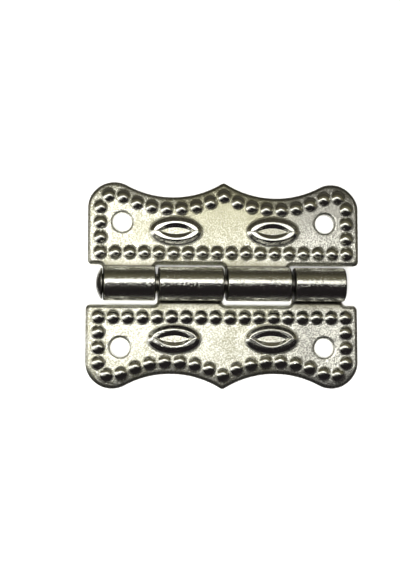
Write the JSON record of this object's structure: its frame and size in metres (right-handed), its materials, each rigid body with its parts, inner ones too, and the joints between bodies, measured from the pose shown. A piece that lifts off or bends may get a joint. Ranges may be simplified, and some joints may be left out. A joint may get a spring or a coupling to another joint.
{
  "type": "decorative box hinge",
  "caption": "Small nickel-plated stamped box hinge lying open: scalloped leaves with a beaded border and raised eye motifs, screw holes, and rolled knuckles on a headed pin.",
  "frame": {"origin": "under the middle of the pin, on the plane of the two leaves' backs", "axes": "+X along the pin away from its head, +Y towards the upper leaf, +Z out of the decorated face"},
  "size_m": [0.0302, 0.0228, 0.0037],
  "materials": {
    "nickel_plated_steel": "satin nickel plate with a fine grain on the flats",
    "pin_steel": "plain drawn steel, slightly darkened"
  },
  "bodies": {
    "fixed_leaf": {"lower_leaf": "nickel_plated_steel", "hinge_pin": "pin_steel"},
    "moving_leaf": {"upper_leaf": "nickel_plated_steel"}
  },
  "joints": [
    {"name": "leaf_fold", "type": "hinge", "parent": "fixed_leaf", "child": "moving_leaf", "pos_m": [0, 0, 0.00185], "axis": [1, 0, 0], "range_deg": [-90, 180]}
  ]
}
